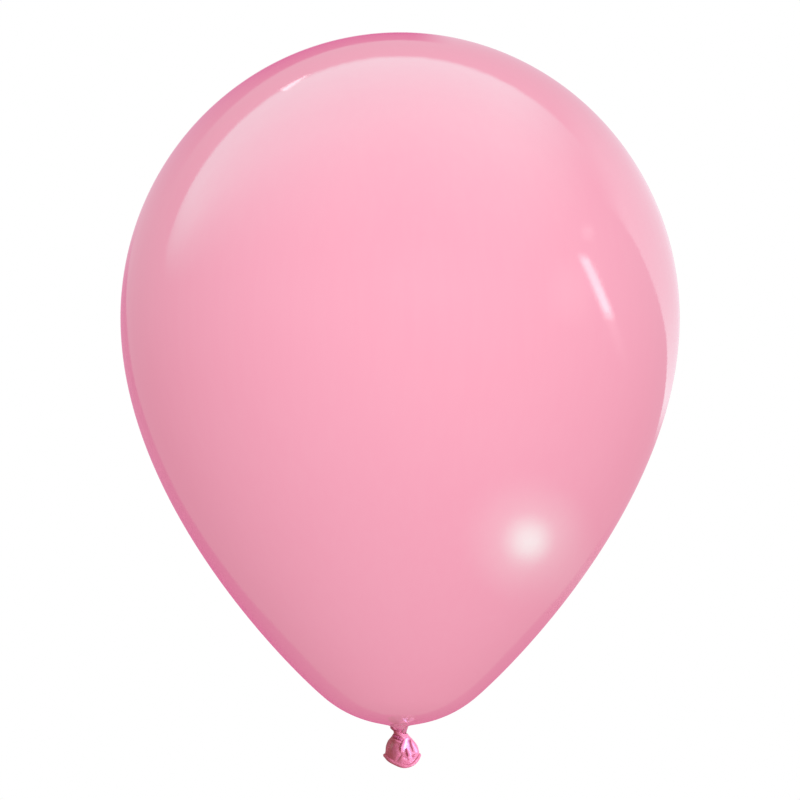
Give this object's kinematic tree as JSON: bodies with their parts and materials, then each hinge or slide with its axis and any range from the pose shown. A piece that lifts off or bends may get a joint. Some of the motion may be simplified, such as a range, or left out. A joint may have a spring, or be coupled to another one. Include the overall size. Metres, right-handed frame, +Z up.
{
  "type": "latex balloon",
  "caption": "Inflated round latex balloon, egg shaped, with its neck tied in an overhand knot and a flared tail with a rolled rim.",
  "frame": {"origin": "middle of the pinched waist of the neck, on the balloon's axis, where a ribbon is tied", "axes": "+Z up along the balloon's axis from the knot to the crown; +X to the right and +Y away from the viewer, with the widest way of the flattened tail along X"},
  "size_m": [0.28, 0.28, 0.3683],
  "materials": {
    "stretched_latex": "glossy stretched latex, opaque baby pink",
    "relaxed_latex": "satin unstretched latex, deeper rose pink"
  },
  "bodies": {
    "envelope": {"envelope": "stretched_latex"},
    "neck": {"neck_funnel": "relaxed_latex"},
    "knot": {"neck_waist": "relaxed_latex", "knot_loop": "relaxed_latex", "knot_strand": "relaxed_latex"},
    "tail": {"tail_skirt": "relaxed_latex", "rolled_bead": "relaxed_latex"}
  },
  "joints": [
    {"name": "neck_twist", "type": "hinge", "parent": "envelope", "child": "neck", "pos_m": [0, 0, 0.003], "axis": [0, 0, 1], "range_deg": [-90, 90], "stiffness_Nm_per_rad": 0.004},
    {"name": "knot_swing", "type": "hinge", "parent": "neck", "child": "knot", "pos_m": [0, 0, 0], "axis": [0, 1, 0], "range_deg": [-30, 30], "stiffness_Nm_per_rad": 0.008},
    {"name": "tail_flex", "type": "hinge", "parent": "knot", "child": "tail", "pos_m": [0, 0, -0.007], "axis": [1, 0, 0], "range_deg": [-40, 40], "stiffness_Nm_per_rad": 0.002}
  ]
}
